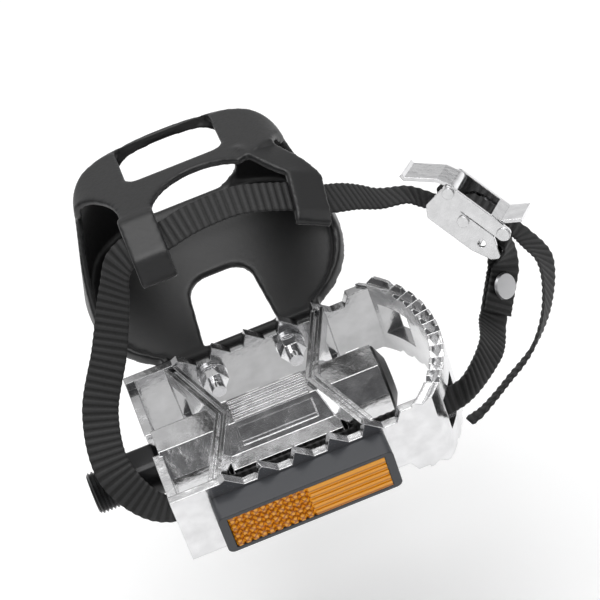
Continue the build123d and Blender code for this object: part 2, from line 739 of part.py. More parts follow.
with BuildPart() as toe_clip:
    add(basket_outside)
    add(basket_inside, mode=Mode.SUBTRACT)
    # The foot's way in: everything between the sole's lip and the hood is open behind the side walls
    lip = clip_wall + clip_lip
    with BuildSketch(Plane.YZ.offset(body_center)):
        with BuildLine():
            FilletPolyline(
                (-10, sole_under(-10) + lip),
                (clip_wide_y - 7, sole_under(clip_wide_y - 7) + lip),
                (side_wall_edge, side_wall_waist),
                (side_wall_edge + 3, hood_over(side_wall_edge + 3) - hood_side_drop),
                (-10, hood_over(-10) - hood_side_drop),
                radius=side_wall_round,
                close=True,
            )
        make_face()
    extrude(amount=2 * clip_wide_half, both=True, mode=Mode.SUBTRACT)
    # Sole behind the flange, and the arch over the bolts
    with BuildSketch(Plane((body_center, 0, 0))):
        with Locations((0, plate_outer / 2 - 10)):
            Rectangle(4 * clip_root_half, plate_outer + 20)
    extrude(amount=clip_hood_front - hood_side_drop, mode=Mode.SUBTRACT)
    with BuildSketch(Plane((body_center, 0, 0))):
        with BuildLine():
            arch_top = arch_half - arch_narrow
            FilletPolyline(
                (arch_half, clip_root_y),
                (arch_top, arch_end),
                (-arch_top, arch_end),
                (-arch_half, clip_root_y),
                radius=arch_round,
            )
            Line((-arch_half, clip_root_y), (arch_half, clip_root_y))
        make_face()
    extrude(amount=clip_hood_front - hood_side_drop, mode=Mode.SUBTRACT)
    # Hood: notches beside the legs, the arch between them and the window ahead of it
    outer_leg_edge = outer_leg_root + leg_width / 2
    with BuildSketch(Plane((body_center, 0, clip_high))):
        with BuildLine():
            ThreePointArc(
                (-clip_wide_half, hood_shoulder_y),
                (-leg_outer_edge - 4, hood_shoulder_y - 9),
                (-leg_outer_edge, clip_hood_end),
            )
            Polyline(
                (-leg_outer_edge, clip_hood_end),
                (-leg_outer_edge, clip_hood_end - 1),
                (-leg_outer_edge, -10),
                (-clip_wide_half, -10),
                (-clip_wide_half, hood_shoulder_y),
            )
        make_face()
        with BuildLine():
            ThreePointArc(
                (clip_wide_half, hood_shoulder_y),
                (outer_leg_edge + 3.5, hood_shoulder_y - 7),
                (outer_leg_edge + 1, hood_arch_end),
            )
            Line((outer_leg_edge + 1, hood_arch_end), (outer_leg_edge - leg_width, hood_arch_end - 6))
            ThreePointArc(
                (outer_leg_edge - leg_width, hood_arch_end - 6),
                (1, hood_arch_end),
                (-leg_inner_edge, clip_hood_end + 4),
            )
            Polyline(
                (-leg_inner_edge, clip_hood_end + 4),
                (-leg_inner_edge, clip_hood_end),
                (-leg_inner_edge, -10),
                (clip_wide_half, -10),
                (clip_wide_half, hood_shoulder_y),
            )
        make_face()
        with Locations((-leg_inner_edge - leg_width / 2, clip_hood_end / 2 - 5)):
            Rectangle(leg_width + 2, clip_hood_end + 10)
    extrude(amount=-(clip_high - clip_hood_front + hood_side_drop), mode=Mode.SUBTRACT)
    with BuildSketch(Plane((body_center, 0, clip_high))):
        with Locations((0, (hood_window_rear + clip_front - clip_wall) / 2)):
            RectangleRounded(2 * hood_window_half, clip_front - clip_wall - hood_window_rear, 4)
    extrude(amount=-(clip_high - clip_hood_front + nose_bar_height), mode=Mode.SUBTRACT)
    opening_low = clip_sole_front + clip_wall
    opening_high = clip_hood_front - nose_bar_height - 1
    with BuildSketch(Plane.XZ.offset(-clip_nose_y)):
        with Locations((body_center, (opening_low + opening_high) / 2)):
            RectangleRounded(2 * front_opening_half, opening_high - opening_low, front_opening_round)
    extrude(amount=-2 * (clip_front - clip_nose_y), mode=Mode.SUBTRACT)
    # Bolting flange on the front plate
    with BuildSketch(Plane.XZ.offset(-plate_outer)):
        with Locations((body_center, (clip_flange_low + sole_under(clip_root_y) + clip_wall) / 2)):
            Rectangle(2 * clip_root_half, sole_under(clip_root_y) + clip_wall - clip_flange_low)
        with Locations(*clip_bolt_places):
            Circle(clip_bolt_radius + bolt_hole_clearance, mode=Mode.SUBTRACT)
    extrude(amount=-clip_flange_thickness)
    # Inner leg's strap tab, bent down from the hood's rear edge
    sheet_middle = hood_over(clip_hood_end) - clip_wall / 2
    leg_start = (clip_hood_end + 3, sheet_middle - 3 * hood_slope)
    with BuildSketch(Plane.YZ.offset(body_center - leg_outer_edge)):
        with BuildLine():
            hood_run = Line(leg_start, (clip_hood_end, sheet_middle))
            flat_run = PolarLine(hood_run @ 1, leg_flat, 180 + loop_angle)
            PolarLine(flat_run @ 1, leg_tab, 180 + leg_tab_angle)
        trace(line_width=clip_wall)
    extrude(amount=leg_width)
    # Outer leg, splayed outwards and down by the strap
    loft([leg_section(place) for place in outer_leg_bend])
    loft([leg_section(place) for place in outer_leg_end], ruled=True)
    for place in (inner_loop, outer_loop):
        with BuildSketch(place):
            with Locations((0, (clip_wall - loop_rim) / 2)):
                Rectangle(loop_length, loop_height + clip_wall + loop_rim)
        extrude(amount=loop_width / 2, both=True)
        with BuildSketch(place):
            Rectangle(loop_length - 2 * loop_rim, loop_height)
        extrude(amount=leg_width, both=True, mode=Mode.SUBTRACT)
toe_clip.part.label = "toe_clip"

# Toe clip bolts, with their washers and nuts inside the cage
clip_face = plate_outer + clip_flange_thickness
with BuildPart() as toe_clip_bolts:
    with BuildSketch(Plane.XZ.offset(-clip_face)):
        with Locations(*clip_bolt_places):
            Circle(clip_bolt_head)
    extrude(amount=-bolt_head_height)
    with BuildSketch(Plane.XZ.offset(-clip_face)):
        with Locations(*clip_bolt_places):
            Circle(clip_bolt_radius)
    bolt_run = clip_face - plate_inner + clip_washer_thickness + clip_nut_height + clip_bolt_end
    extrude(amount=bolt_run)
toe_clip_bolts.part.label = "toe_clip_bolts"

with BuildPart() as toe_clip_washers:
    with BuildSketch(Plane.XZ.offset(-plate_inner)):
        with Locations(*clip_bolt_places):
            Circle(clip_washer_radius)
            Circle(clip_bolt_radius, mode=Mode.SUBTRACT)
    extrude(amount=clip_washer_thickness)
toe_clip_washers.part.label = "toe_clip_washers"

with BuildPart() as toe_clip_nuts:
    with BuildSketch(Plane.XZ.offset(-plate_inner + clip_washer_thickness)):
        with Locations(*clip_bolt_places):
            RegularPolygon(clip_nut_flats / 2, 6, major_radius=False)
            Circle(clip_bolt_radius, mode=Mode.SUBTRACT)
    extrude(amount=clip_nut_height)
toe_clip_nuts.part.label = "toe_clip_nuts"

# Strap: one ribbed length, from its folded end round the buckle bar to its free tail
buckle_side = Plane(origin=(134, 33, 20), x_dir=(-0.53, 0.6, 0.6), z_dir=(0.424, 0.799, -0.426))
pin_line = -buckle_side.z_dir


def in_buckle(along, out):
    """Place in the buckle's middle plane, along the strap and outwards from it."""
    return buckle_side.from_local_coords(Vector(along, out, 0))


def round_bar(angle):
    """Place of the strap's middle where it wraps the buckle's lower bar."""
    reach = buckle_bar_radius + strap_thickness / 2 + wrap_gap
    return in_buckle(bar_place + reach * cos(radians(angle)), bar_rise + reach * sin(radians(angle)))


def round_roller(angle):
    """Place of the strap's middle where it passes over the roller."""
    reach = roller_radius + strap_thickness / 2 + roller_gap
    return in_buckle(roller_place + reach * cos(radians(angle)), roller_rise + reach * sin(radians(angle)))


upright = Vector(0, 0, 1)
rivet_width = Vector(-0.63, -0.08, 0.74)
rivet_run = Vector(-0.5, -0.68, -0.5).normalized()
rivet_place = Vector(137, 18, 1.5)
rivet_out = rivet_width.cross(rivet_run).normalized()
layer = rivet_out * (strap_thickness + layer_gap)
window_y = -strap_window_middle
loop_line = inner_loop.x_dir
strap_knots = [
    (rivet_place + layer + rivet_run * fold_end, rivet_width),
    (rivet_place + layer + rivet_run * rivet_flat, rivet_width),
    (rivet_place + layer - rivet_run * rivet_flat + rivet_out * fold_spread, rivet_width),
    (round_bar(150), pin_line),
    (round_bar(105), pin_line),
    (round_bar(60), pin_line),
    (round_bar(15), pin_line),
    (round_bar(-30), pin_line),
    (rivet_place - rivet_run * rivet_flat - rivet_out * fold_spread, rivet_width),
    (rivet_place + rivet_run * rivet_flat, rivet_width),
    (rivet_place + rivet_run * (fold_end + 3), rivet_width),
    (Vector(125.2, -4.8, -1.5), Vector(-0.4, 0, 0.9)),
    (Vector(112, window_y + 1.5, 0), upright),
    (Vector(105, window_y, 0), upright),
    (Vector(92, window_y - 0.5, 0), upright),
    (Vector(60, window_y - 0.8, 0), upright),
    (Vector(25, window_y - 0.5, 0), upright),
    (Vector(12, window_y, 0), upright),
    (Vector(4, -17.5, 4), Vector(0.5, 0.1, 0.85)),
    (Vector(-3, -7, 13.5), Vector(1, 0.1, 0.1)),
    (Vector(-0.5, 9, 24), Vector(1, -0.1, -0.1)),
    (Vector(10, 21, 38), Vector(0.8, -0.5, -0.25)),
    (Vector(18, 29.5, 52), Vector(0.5, -0.8, -0.3)),
    (Vector(22.5, 32.4, 60.5), Vector(0.25, -0.9, -0.3)),
    (inner_loop.origin + inner_loop.z_dir * loop_width * 0.55, loop_line),
    (inner_loop.origin, loop_line),
    (inner_loop.origin - inner_loop.z_dir * loop_width * 0.6, loop_line),
    (Vector(50, 34.5, 66), loop_line),
    (Vector(66, 34.5, 66), loop_line),
    (outer_loop.origin + outer_loop.z_dir * loop_width * 0.6, outer_loop.x_dir),
    (outer_loop.origin - outer_loop.z_dir * loop_width * 0.6, outer_loop.x_dir),
    (Vector(101, 37, 47), Vector(0, -0.97, -0.1)),
    (Vector(111, 41, 37.5), Vector(-0.2, -0.9, 0.3)),
    (Vector(120, 42.5, 32.4), pin_line),
    (in_buckle(13, -0.4), pin_line),
    (in_buckle(9, 1.7), pin_line),
    (round_roller(18), pin_line),
    (round_roller(52), pin_line),
    (round_roller(88), pin_line),
    (in_buckle(-8, 9), pin_line),
    (in_buckle(-18, 9.3), pin_line),
    (Vector(153, 11, 12.5), pin_line),
    (Vector(148, -3, 8), pin_line),
    (Vector(138.5, -14, 3), pin_line),
    (Vector(125.7, -21, -1), pin_line),
    (Vector(114.5, -26.5, -3.5), pin_line),
    (Vector(109.5, -27.6, -4.6), pin_line),
]


def between(first, second, share):
    """Point a share of the way from one place to another."""
    return first + (second - first) * share


def strap_place(span, share):
    """Point on the strap's middle line: a centripetal Catmull-Rom curve through its knots."""
    places = [knot[0] for knot in strap_knots]
    places = [places[0] * 2 - places[1]] + places + [places[-1] * 2 - places[-2]]
    a, b, c, d = places[span:span + 4]
    tb = (b - a).length ** 0.5
    tc = tb + (c - b).length ** 0.5
    td = tc + (d - c).length ** 0.5
    t = between(tb, tc, share)
    ab = between(a, b, t / tb)
    bc = between(b, c, (t - tb) / (tc - tb))
    cd = between(c, d, (t - tc) / (td - tc))
    abc = between(ab, bc, t / tc)
    bcd = between(bc, cd, (t - tb) / (td - tb))
    return between(abc, bcd, share)


def strap_section(span, share):
    """The strap's cross-section at a share of one span between knots."""
    nudge = 0.02
    run = strap_place(span, share + nudge) - strap_place(span, share - nudge)
    width = between(strap_knots[span][1], strap_knots[span + 1][1], share)
    with BuildSketch(Plane(origin=strap_place(span, share), x_dir=width, z_dir=run)) as section:
        Rectangle(strap_width, strap_thickness)
    return section.sketch


rivet_plane = Plane(origin=rivet_place + layer / 2, z_dir=rivet_out)
rivet_grip = 2 * strap_thickness + layer_gap + fold_spread + rivet_seat
last_span = len(strap_knots) - 2
with BuildPart() as strap:
    shares = [(span, step / strap_steps) for span in range(last_span + 1) for step in range(strap_steps)]
    loft([strap_section(span, share) for span, share in shares + [(last_span, 1)]], ruled=True)
    with BuildSketch(rivet_plane):
        Circle(rivet_radius)
    extrude(amount=rivet_grip, both=True, mode=Mode.SUBTRACT)
strap.part.label = "strap"

# Rivet through both layers of the strap, a flat head on each side
with BuildPart() as strap_rivet:
    with BuildSketch(rivet_plane):
        Circle(rivet_radius)
    extrude(amount=rivet_grip / 2 + rivet_head_height, both=True)
    for side in (1, -1):
        with BuildSketch(rivet_plane.offset(side * rivet_grip / 2)):
            Circle(rivet_head_radius)
        extrude(amount=side * rivet_head_height, taper=20)
strap_rivet.part.label = "strap_rivet"

# Buckle frame: two cheeks on a base plate, with the bar for the strap's fixed end
cheek_inside = buckle_inner_width / 2
cheek_outside = cheek_inside + buckle_cheek
base_low = base_face - buckle_base
with BuildPart() as buckle_frame:
    for side in (1, -1):
        with BuildSketch(buckle_side.offset(side * cheek_inside)):
            with BuildLine():
                FilletPolyline(
                    (bar_place - cheek_end, bar_rise),
                    (bar_place, bar_rise - cheek_end),
                    (bar_place + 7, base_low),
                    (cheek_front, base_low),
                    (cheek_front + 3, 1),
                    (lever_place + strut_width / 2, lever_rise),
                    (lever_place - strut_width, lever_rise),
                    (lever_place - strut_width - 2, cheek_flange_top),
                    (bar_place + 4, cheek_flange_top),
                    radius=1.2,
                    close=True,
                )
            make_face()
            # Strut from the lever's pin back to the keeper
            with Locations(((lever_place + strut_end) / 2, lever_rise)):
                SlotCenterToCenter(lever_place - strut_end, strut_width)
            with Locations((roller_place, roller_rise), (lever_place, lever_rise)):
                Circle(buckle_pin_radius, mode=Mode.SUBTRACT)
            with Locations((cheek_hole_place, cheek_hole_rise)):
                Circle(cheek_hole_radius, mode=Mode.SUBTRACT)
        extrude(amount=side * buckle_cheek)
        with BuildSketch(buckle_side.offset(side * cheek_outside)):
            with Locations((strut_end, lever_rise)):
                Circle(strut_boss)
        extrude(amount=side * pin_head)
    with BuildSketch(buckle_side):
        with Locations(((cheek_front + base_rear) / 2, base_low + buckle_base / 2)):
            Rectangle(cheek_front - base_rear, buckle_base)
        with Locations((bar_place, bar_rise)):
            Circle(buckle_bar_radius)
        with BuildLine():
            Polyline(
                (keeper_place + 2, keeper_rise),
                (keeper_place - 2, keeper_rise + 0.4),
                (keeper_place - 2 - keeper_flare, keeper_rise + 0.4 + keeper_flare),
            )
        trace(line_width=buckle_cheek)
    extrude(amount=cheek_inside, both=True)
buckle_frame.part.label = "buckle_frame"


def buckle_pin(along, out, label):
    """Headed pin across the two cheeks."""
    with BuildPart() as pin:
        with BuildSketch(buckle_side):
            with Locations((along, out)):
                Circle(buckle_pin_radius)
        extrude(amount=cheek_outside, both=True)
        for side in (1, -1):
            with BuildSketch(buckle_side.offset(side * cheek_outside)):
                with Locations((along, out)):
                    Circle(pin_head_radius)
            extrude(amount=side * pin_head)
    pin.part.label = label
    return pin


buckle_roller_pin = buckle_pin(roller_place, roller_rise, "buckle_roller_pin")
buckle_lever_pin = buckle_pin(lever_place, lever_rise, "buckle_lever_pin")

with BuildPart() as buckle_roller:
    with BuildSketch(buckle_side):
        with Locations((roller_place, roller_rise)):
            Circle(roller_radius)
            Circle(buckle_pin_radius + pin_fit, mode=Mode.SUBTRACT)
    extrude(amount=cheek_inside - side_play, both=True)
buckle_roller.part.label = "buckle_roller"

# Quick-release lever: a hub with a nose that pinches the strap and a tab to lift it by
with BuildPart() as buckle_lever:
    with BuildSketch(buckle_side):
        with BuildLine():
            Polyline(
                (lever_place - lever_hub_radius, lever_rise + 0.5),
                (lever_place - 0.67 * lever_nose, lever_rise - 0.74 * lever_nose),
                (lever_place + lever_hub_radius, lever_rise - 0.5),
                close=True,
            )
        make_face()
        with BuildLine():
            Polyline(
                (lever_place, lever_rise + lever_hub_radius - lever_tab_thickness / 2),
                (lever_place + lever_tab_length / 3, lever_rise + 0.6),
                (lever_place + 0.9 * lever_tab_length, lever_rise - lever_tab_drop),
                (lever_place + lever_tab_length, lever_rise - lever_tab_drop + 0.3),
            )
        trace(line_width=lever_tab_thickness)
        with Locations((lever_place, lever_rise)):
            Circle(lever_hub_radius)
            Circle(buckle_pin_radius + pin_fit, mode=Mode.SUBTRACT)
    extrude(amount=cheek_inside - side_play, both=True)
buckle_lever.part.label = "buckle_lever"

pieces = [
    spindle, inner_seal, inner_bush, outer_bush, thrust_washer, lock_nut, dust_cap, body_casting,
    reflector_housing, reflector_lens, reflector_bolts, reflector_nuts, toe_clip, toe_clip_bolts,
    toe_clip_washers, toe_clip_nuts, strap, strap_rivet, buckle_frame, buckle_roller,
    buckle_roller_pin, buckle_lever, buckle_lever_pin,
]
for piece in pieces:
    export_step(piece.part, f"parts/{piece.part.label}.step")
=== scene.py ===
# %% [markdown]
# # Toe clip pedal
# The imported CAD pieces keep their shapes and get their finishes here. Three of them are made anew,
# because their detail is too fine or too soft for the solids: the toe clip with its moulded edges,
# the spindle with its rolled thread, and the strap with its woven ribs. First come two helpers, for
# hanging a piece on a moving body and hiding a CAD piece, then the CAD pieces with their placing moved
# into their meshes.

import bmesh
import bpy
import numpy as np
from mathutils import Matrix, Vector


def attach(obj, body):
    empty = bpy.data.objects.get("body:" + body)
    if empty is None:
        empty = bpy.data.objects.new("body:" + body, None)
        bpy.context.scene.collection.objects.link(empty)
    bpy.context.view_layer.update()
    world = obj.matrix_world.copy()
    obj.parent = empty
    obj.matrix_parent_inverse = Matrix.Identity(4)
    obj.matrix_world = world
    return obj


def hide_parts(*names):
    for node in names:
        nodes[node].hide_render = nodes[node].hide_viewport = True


MM = 0.001
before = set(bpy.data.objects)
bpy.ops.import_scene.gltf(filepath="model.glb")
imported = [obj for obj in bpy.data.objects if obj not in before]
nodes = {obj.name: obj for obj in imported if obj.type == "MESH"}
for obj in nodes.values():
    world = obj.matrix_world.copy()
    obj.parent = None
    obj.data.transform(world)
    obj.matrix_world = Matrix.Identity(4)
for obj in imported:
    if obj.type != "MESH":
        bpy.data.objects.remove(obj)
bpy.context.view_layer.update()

# %% [markdown]
# ## Camera
# The photograph looks at the pedal from behind and above, and the picture is turned, so that the
# spindle's line climbs to the right. A camera could be aimed with a constraint, but that leaves no
# say over its roll. So this one is built from three angles and one aim point, as a single matrix.

# %% Camera
AZIMUTH = np.radians(3.0)
ELEVATION = np.radians(45.0)
ROLL = np.radians(19.6)
DISTANCE = 1.1
AIM = np.array([74, 29, 19]) * MM
LENS = 200.0
NEAREST = 0.01

right = np.array([np.cos(AZIMUTH), -np.sin(AZIMUTH), 0.0])
back = np.array(
    [
        -np.sin(AZIMUTH) * np.cos(ELEVATION),
        -np.cos(AZIMUTH) * np.cos(ELEVATION),
        np.sin(ELEVATION),
    ]
)
up = np.cross(back, right)
turned_right = right * np.cos(ROLL) - up * np.sin(ROLL)
turned_up = right * np.sin(ROLL) + up * np.cos(ROLL)
camera = bpy.data.objects.new("camera", bpy.data.cameras.new("camera"))
camera.data.lens = LENS
camera.data.clip_start = NEAREST
facing = Matrix([turned_right, turned_up, back]).transposed().to_4x4()
camera.matrix_world = Matrix.Translation(Vector(AIM + back * DISTANCE)) @ facing
bpy.context.collection.objects.link(camera)
bpy.context.scene.camera = camera
print("Camera", DISTANCE, "m away with a", LENS, "mm lens")

# %% [markdown]
# ## Floor
# A wide white floor is the whole background. White all round could come from the sky alone, but then
# the pedal would cast no shadow. The pedal turns a full circle on its spindle, so the floor lies just
# below the toe clip's reach at any turn.

# %% Floor
FLOOR_HALF = 20.0
FLOOR_GAP = 2 * MM

reach = 0.0
for node in nodes.values():
    spots = np.empty(len(node.data.vertices) * 3)
    node.data.vertices.foreach_get("co", spots)
    reach = max(reach, np.linalg.norm(spots.reshape(-1, 3)[:, 1:], axis=1).max())
floor_height = -reach - FLOOR_GAP
floor_mesh = bpy.data.meshes.new("floor")
corners = np.array([[-1, -1], [1, -1], [1, 1], [-1, 1]]) * FLOOR_HALF
floor_points = np.column_stack([corners, np.full(4, floor_height)])
floor_mesh.from_pydata(floor_points.tolist(), [], [(0, 1, 2, 3)])
floor = bpy.data.objects.new("floor", floor_mesh)
bpy.context.collection.objects.link(floor)
print("Floor at", round(floor_height / MM, 2), "mm")

# %% [markdown]
# White paint alone renders as a light grey. More lamps would lift it, and burn out the pedal's metal
# too. A little glow is the gentler way. Only the camera, mirrors and glass see it, so it doesn't
# light the pedal, and the pedal's shadow stays on the floor. Two helpers come first, for materials
# and math nodes.

# %% Floor finish
FLOOR_COLOUR = (0.95, 0.95, 0.95)
FLOOR_ROUGHNESS = 0.9
FLOOR_GLOW = 0.18


def plain_material(name, colour, roughness, metallic=0.0):
    """New material with one Principled shader, its constants set on the shader's sockets."""
    material = bpy.data.materials.new(name)
    material.use_nodes = True
    shader = material.node_tree.nodes["Principled BSDF"]
    shader.inputs["Base Color"].default_value = (*colour, 1.0)
    shader.inputs["Roughness"].default_value = roughness
    shader.inputs["Metallic"].default_value = metallic
    return material


def math_node(tree, operation, first, second=0.0):
    """Math node on two inputs, each a number or another node's output."""
    node = tree.nodes.new("ShaderNodeMath")
    node.operation = operation
    for socket, value in zip(node.inputs, (first, second)):
        if isinstance(value, (int, float)):
            socket.default_value = value
        else:
            tree.links.new(value, socket)
    return node.outputs["Value"]


floor_white = plain_material("floor_white", FLOOR_COLOUR, FLOOR_ROUGHNESS)
tree = floor_white.node_tree
floor_shader = tree.nodes["Principled BSDF"]
floor_shader.inputs["Emission Color"].default_value = (1, 1, 1, 1)
rays = tree.nodes.new("ShaderNodeLightPath").outputs
mirrored = math_node(tree, "MAXIMUM", rays["Is Glossy Ray"], rays["Is Transmission Ray"])
looked_at = math_node(tree, "MAXIMUM", rays["Is Camera Ray"], mirrored)
glow = math_node(tree, "MULTIPLY", looked_at, FLOOR_GLOW)
tree.links.new(glow, floor_shader.inputs["Emission Strength"])
floor_mesh.materials.append(floor_white)
print("Floor finish:", floor_white.name)

# %% [markdown]
# ## Light
# Polished metal is only as interesting as what it mirrors. One even sky would leave it flat and
# white, and a photographed sky would need a picture file. This sky is a set of soft bands along a
# leaning direction instead: bright overhead and ahead, dim nearer the camera.

# %% Sky
WORLD_STRENGTH = 0.62
WORLD_LEAN = (0.0, 0.5, 0.85)
WORLD_BANDS = [
    (0.0, (0.5, 0.5, 0.5)),
    (0.2, (0.1, 0.1, 0.105)),
    (0.42, (0.32, 0.32, 0.33)),
    (0.72, (1.0, 1.0, 1.0)),
]


def colour_ramp(tree, stops):
    """Colour ramp node from stops of position and colour, in rising order."""
    node = tree.nodes.new("ShaderNodeValToRGB")
    elements = node.color_ramp.elements
    for element, (position, colour) in zip(elements, (stops[0], stops[-1])):
        element.position = position
        element.color = (*colour, 1.0)
    for position, colour in stops[1:-1]:
        elements.new(position).color = (*colour, 1.0)
    return node


world = bpy.data.worlds.new("studio")
bpy.context.scene.world = world
world.use_nodes = True
tree = world.node_tree
tree.nodes.clear()
output = tree.nodes.new("ShaderNodeOutputWorld")
sky = tree.nodes.new("ShaderNodeBackground")
place = tree.nodes.new("ShaderNodeTexCoord")
lean = tree.nodes.new("ShaderNodeVectorMath")
bands = colour_ramp(tree, WORLD_BANDS)
sky.inputs["Strength"].default_value = WORLD_STRENGTH
lean.operation = "DOT_PRODUCT"
lean.inputs[1].default_value = WORLD_LEAN
tree.links.new(place.outputs["Generated"], lean.inputs[0])
tree.links.new(lean.outputs["Value"], bands.inputs["Fac"])
tree.links.new(bands.outputs["Color"], sky.inputs["Color"])
tree.links.new(sky.outputs["Background"], output.inputs["Surface"])
print("Sky with", len(WORLD_BANDS), "bands")

# %% [markdown]
# Four square lights add shape. Small lamps or a sun would draw hard shadows and pin-point glints.
# These are large for their distance, so their shadows are soft and the metal shows broad highlights.
# The last one is weak and low. It stands where the buckle's cheek mirrors it, as a white card would.

# %% Lights


def soft_light(name, spot, size, power):
    """Square area light at a spot, in metres, turned to the aim point."""
    data = bpy.data.lights.new(name, "AREA")
    data.size = size
    data.energy = power
    light = bpy.data.objects.new(name, data)
    light.location = spot
    light.rotation_euler = (Vector(AIM) - Vector(spot)).to_track_quat("-Z", "Y").to_euler()
    bpy.context.collection.objects.link(light)


soft_light("overhead", spot=(0.1, 0.25, 1.1), size=0.9, power=8.0)
soft_light("behind_camera", spot=(-0.5, -1.1, 0.9), size=0.6, power=3.0)
soft_light("outboard_side", spot=(1.1, -0.1, 0.5), size=0.5, power=1.5)
soft_light("buckle_card", spot=(-0.58, -0.67, 0.06), size=0.5, power=0.38)
bpy.context.scene.view_settings.view_transform = "Standard"
print("Lights:", [light.name for light in bpy.data.lights])

# %% [markdown]
# ## Finishes
# No real surface is quite even and no real edge is razor sharp. Both could be modelled, at a great
# cost in faces. One shared node group does it in the shading instead: a fine uneven surface from
# Object coordinates, and light rounded on sharp edges. Each material places it with its own size and
# depth.

# %% Uneven surface
NOISE_DETAIL = 4.0
EDGE_SAMPLES = 6

grain = bpy.data.node_groups.new("uneven_surface", "ShaderNodeTree")
for name in ("Scale", "Depth", "Edge"):
    grain.interface.new_socket(name, in_out="INPUT", socket_type="NodeSocketFloat")
grain.interface.new_socket("Normal", in_out="OUTPUT", socket_type="NodeSocketVector")
grain.interface.new_socket("Patch", in_out="OUTPUT", socket_type="NodeSocketFloat")
taken = grain.nodes.new("NodeGroupInput")
given = grain.nodes.new("NodeGroupOutput")
where = grain.nodes.new("ShaderNodeTexCoord")
noise = grain.nodes.new("ShaderNodeTexNoise")
bump = grain.nodes.new("ShaderNodeBump")
edges = grain.nodes.new("ShaderNodeBevel")
edges.samples = EDGE_SAMPLES
noise.inputs["Detail"].default_value = NOISE_DETAIL
bump.inputs["Strength"].default_value = 1.0
grain.links.new(where.outputs["Object"], noise.inputs["Vector"])
grain.links.new(taken.outputs["Scale"], noise.inputs["Scale"])
grain.links.new(taken.outputs["Depth"], bump.inputs["Distance"])
grain.links.new(noise.outputs["Fac"], bump.inputs["Height"])
grain.links.new(taken.outputs["Edge"], edges.inputs["Radius"])
grain.links.new(edges.outputs["Normal"], bump.inputs["Normal"])
grain.links.new(bump.outputs["Normal"], given.inputs["Normal"])
grain.links.new(noise.outputs["Fac"], given.inputs["Patch"])
print("Shared surface:", grain.name)

# %% [markdown]
# The toe clip, the reflector's housing and the dust cap are moulded plastic, and the seal is rubber.
# A mould leaves a fine grain and a gloss that differs from patch to patch. A plain roughness value
# would look like wet paint, so the roughness wanders between two values over the same patches as the
# grain.

# %% Plastics


def uneven(material, scale, depth, edge, rough_low, rough_high):
    """Adds the shared surface: bump depth and edge radius in metres, and roughness in patches."""
    tree = material.node_tree
    shader = tree.nodes["Principled BSDF"]
    group = tree.nodes.new("ShaderNodeGroup")
    group.node_tree = grain
    group.inputs["Scale"].default_value = scale
    group.inputs["Depth"].default_value = depth
    group.inputs["Edge"].default_value = edge
    spread = tree.nodes.new("ShaderNodeMapRange")
    spread.inputs["To Min"].default_value = rough_low
    spread.inputs["To Max"].default_value = rough_high
    tree.links.new(group.outputs["Normal"], shader.inputs["Normal"])
    tree.links.new(group.outputs["Patch"], spread.inputs["Value"])
    tree.links.new(spread.outputs["Result"], shader.inputs["Roughness"])
    return material


resin = uneven(
    plain_material("moulded_resin", (0.008, 0.008, 0.0085), roughness=0.4),
    scale=900, depth=0.00003, edge=0.0008, rough_low=0.32, rough_high=0.48,
)
charcoal = uneven(
    plain_material("charcoal_plastic", (0.042, 0.044, 0.05), roughness=0.4),
    scale=900, depth=0.00003, edge=0.0007, rough_low=0.3, rough_high=0.45,
)
rubber = uneven(
    plain_material("seal_rubber", (0.012, 0.012, 0.012), roughness=0.7),
    scale=800, depth=0.00004, edge=0.0003, rough_low=0.6, rough_high=0.8,
)
print("Plastics:", resin.name, charcoal.name, rubber.name)

# %% [markdown]
# The cage is polished cast aluminium, the buckle and fasteners are plated steel and the spindle is
# blackened steel. Casting and stamping leave large soft dents, which bend the reflections, so the
# metals take a coarser surface than the plastics. The spindle's edge radius is tiny, or its thread
# would blur.

# %% Metals
aluminium = uneven(
    plain_material("cast_aluminium", (0.8, 0.8, 0.81), roughness=0.2, metallic=1.0),
    scale=170, depth=0.0002, edge=0.0004, rough_low=0.1, rough_high=0.26,
)
bright_steel = uneven(
    plain_material("bright_steel", (0.88, 0.88, 0.88), roughness=0.12, metallic=1.0),
    scale=300, depth=0.00008, edge=0.0003, rough_low=0.08, rough_high=0.2,
)
dull_steel = uneven(
    plain_material("dull_steel", (0.62, 0.62, 0.63), roughness=0.35, metallic=1.0),
    scale=700, depth=0.00003, edge=0.0003, rough_low=0.3, rough_high=0.45,
)
black_steel = uneven(
    plain_material("black_steel", (0.012, 0.012, 0.013), roughness=0.32, metallic=0.3),
    scale=600, depth=0.00002, edge=0.00008, rough_low=0.26, rough_high=0.4,
)
bronze = uneven(
    plain_material("bearing_bronze", (0.5, 0.33, 0.15), roughness=0.35, metallic=1.0),
    scale=500, depth=0.00003, edge=0.0002, rough_low=0.28, rough_high=0.42,
)
print("Metals:", aluminium.name, bright_steel.name, dull_steel.name, black_steel.name, bronze.name)

# %% [markdown]
# Die-cast metal isn't one even silver. Where the mould cooled at different speeds it has greyer
# clouds. They could be painted on a texture, which would need unwrapping. Here the same patches that
# change the roughness also tint the colour, through a ramp.

# %% Cloudy metal
CLOUD_LOW = 0.32
CLOUD_HIGH = 0.68
CLOUD_BLUE = 1.01


def cloudy(material, dark, light):
    """Tints the colour from a dark grey to a light one over the shared surface's patches."""
    tree = material.node_tree
    group = next(node for node in tree.nodes if node.type == "GROUP")
    low = (CLOUD_LOW, (dark, dark, dark * CLOUD_BLUE))
    high = (CLOUD_HIGH, (light, light, light * CLOUD_BLUE))
    tint = colour_ramp(tree, [low, high])
    tree.links.new(group.outputs["Patch"], tint.inputs["Fac"])
    tree.links.new(tint.outputs["Color"], tree.nodes["Principled BSDF"].inputs["Base Color"])


cloudy(aluminium, dark=0.67, light=0.8)
cloudy(bright_steel, dark=0.8, light=0.9)
print("Cloudy:", aluminium.name, bright_steel.name)
